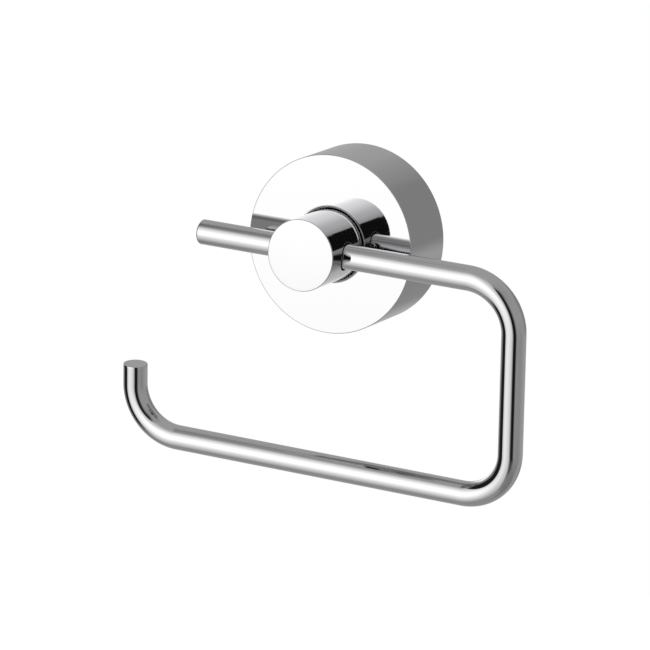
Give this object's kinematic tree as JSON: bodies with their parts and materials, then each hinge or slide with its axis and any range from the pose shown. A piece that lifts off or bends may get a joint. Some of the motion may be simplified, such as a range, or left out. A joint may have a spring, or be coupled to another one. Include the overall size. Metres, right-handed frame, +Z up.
{
  "type": "toilet paper holder",
  "caption": "Wall-mounted chrome toilet paper holder: a round rose and short post carry a swinging bent-rod arm, open at one end for the roll.",
  "frame": {"origin": "centre of the round rose on the wall's surface, midway between the two wall screw holes", "axes": "+X to the right as seen from the room, along the arm's top run; +Y into the wall; +Z up"},
  "size_m": [0.1425, 0.0431, 0.1039],
  "materials": {
    "chrome_shell": "mirror-polished chrome plate on drawn brass",
    "chrome_solid": "mirror-polished chrome plate on turned brass",
    "chrome_rod": "mirror-polished chrome plate on bent brass rod",
    "cast_zinc": "as-cast zinc alloy, matt grey",
    "zinc_plated_steel": "bright zinc plate on pressed steel",
    "screw_steel": "plain stainless steel, turned and rolled",
    "black_nylon": "moulded black nylon"
  },
  "bodies": {
    "wall_base": {"rose_shell": "chrome_shell", "rose_carrier": "cast_zinc", "post": "chrome_solid", "post_screw": "screw_steel", "post_lock_washer": "screw_steel", "post_dowel": "screw_steel", "arm_bush_left": "black_nylon", "arm_bush_right": "black_nylon", "arm_set_screw": "screw_steel", "wall_plate": "zinc_plated_steel", "rose_set_screw": "screw_steel"},
    "arm": {"roll_arm": "chrome_rod"}
  },
  "joints": [
    {"name": "arm_swing", "type": "hinge", "parent": "wall_base", "child": "arm", "pos_m": [0, -0.0325, -0.0005], "axis": [-1, 0, 0], "range_deg": [-18.5, 208.5]}
  ]
}
